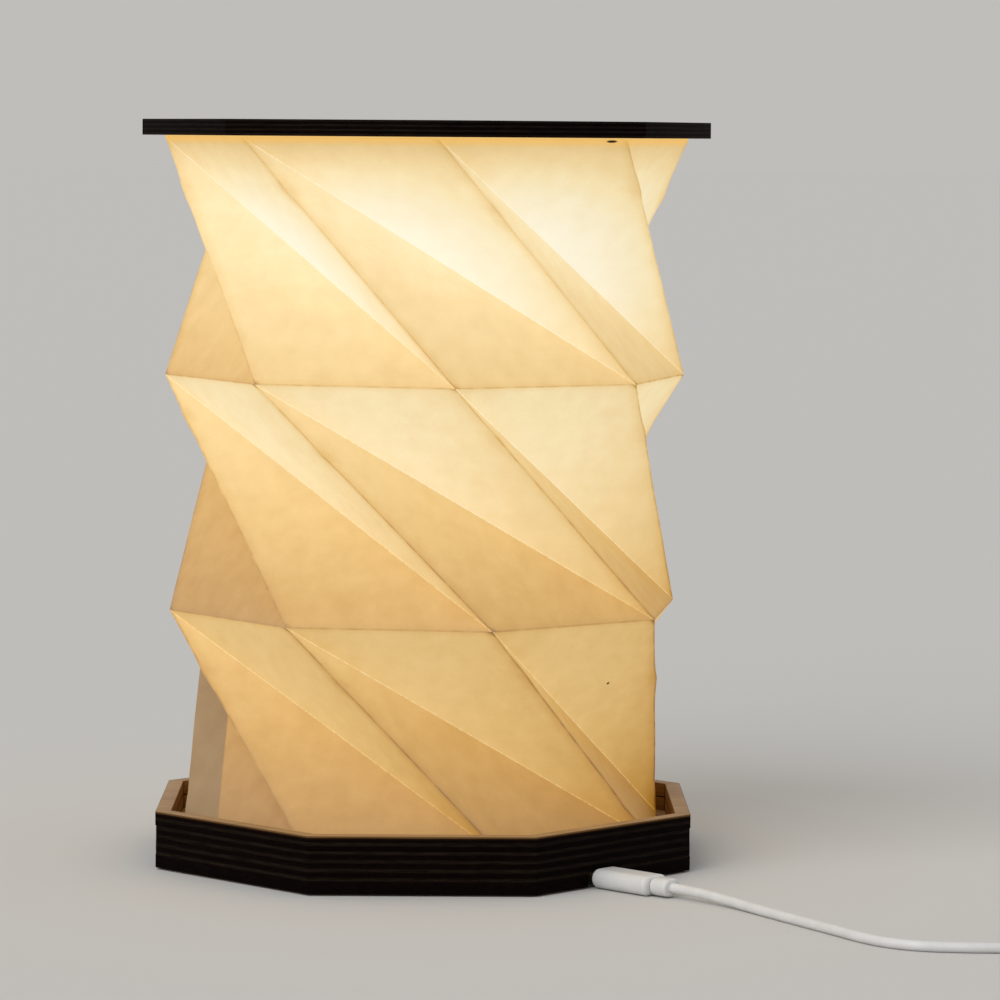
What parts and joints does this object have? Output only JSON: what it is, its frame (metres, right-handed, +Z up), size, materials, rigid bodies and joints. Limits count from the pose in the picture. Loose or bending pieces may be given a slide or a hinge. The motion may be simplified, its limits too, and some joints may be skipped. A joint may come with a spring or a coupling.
{
  "type": "pleated paper table lamp",
  "caption": "Table lamp with a twisted, folded paper shade between a plywood tray and a plywood lid, which press together flat; it has a small light unit and a plug-in supply cable.",
  "frame": {"origin": "centre of the tray's underside, on the upright axis of tray, shade and lid", "axes": "+Z up along the lamp's upright axis; -Y is the side the picture was taken from, with one flat face of the tray square to it; +X to the right"},
  "size_m": [0.3579, 0.2863, 0.2517],
  "materials": {
    "shade_paper": "translucent folded paper, lit from inside",
    "card": "stiff card, matt",
    "plywood": "thin birch plywood, bare, laser-cut edges",
    "felt": "thin felt",
    "white_plastic": "moulded white plastic",
    "milky_plastic": "milky translucent plastic",
    "black_plastic": "matt",
    "board_green": "circuit board",
    "board_aluminium": "metal-core board, white solder mask",
    "led_phosphor": "light chip",
    "capacitor_body": "ceramic",
    "socket_metal": "plated steel",
    "screw_steel": "small screws",
    "rubber_white": "soft rubber",
    "lead_white": "flexible insulated lead",
    "cable_white": "flexible cable sheath"
  },
  "bodies": {
    "base": {"felt_pad": "felt", "base_frame": "plywood", "floor_plate": "plywood", "rim_lower": "plywood", "rim_upper": "plywood", "usb_socket_shell": "socket_metal", "usb_socket_tongue": "black_plastic", "driver_board": "board_green", "driver_chip": "black_plastic", "driver_inductor": "black_plastic", "driver_capacitors": "capacitor_body", "board_spacers": "white_plastic", "board_screws": "screw_steel", "lead_grommet": "rubber_white", "led_lead_foot": "lead_white", "lower_shade_ring": "card", "usb_c_shell": "socket_metal", "usb_c_body": "white_plastic", "usb_c_boot": "cable_white", "cable_lead": "cable_white", "cable_coil": "cable_white", "cable_tail": "cable_white", "usb_a_boot": "cable_white", "usb_a_body": "white_plastic", "usb_a_shell": "socket_metal", "usb_a_tongue": "white_plastic"},
    "shade": {"paper_shade": "shade_paper"},
    "lead": {"led_lead": "lead_white"},
    "top": {"top_plate": "plywood", "upper_shade_ring": "card", "led_board": "board_aluminium", "led_chips": "led_phosphor", "led_diffuser": "milky_plastic", "led_screws": "screw_steel"}
  },
  "joints": [
    {"name": "shade_twist", "type": "hinge", "parent": "base", "child": "shade", "pos_m": [0, 0, 0.0102], "axis": [0, 0, 1], "range_deg": [-32.6, 0]},
    {"name": "top_slide", "type": "slide", "parent": "shade", "child": "lead", "axis": [0, 0, 1], "range_m": [-0.2263, 0], "deforming": ["paper_shade", "led_lead"]},
    {"name": "top_twist", "type": "hinge", "parent": "lead", "child": "top", "pos_m": [0, 0, 0.2463], "axis": [0, 0, 1], "range_deg": [-37.5, 0]}
  ],
  "couplings": [
    {"joint": "shade_twist", "follows": "top_slide", "rad_per_m": 2.514},
    {"joint": "top_twist", "follows": "top_slide", "rad_per_m": 2.892}
  ]
}
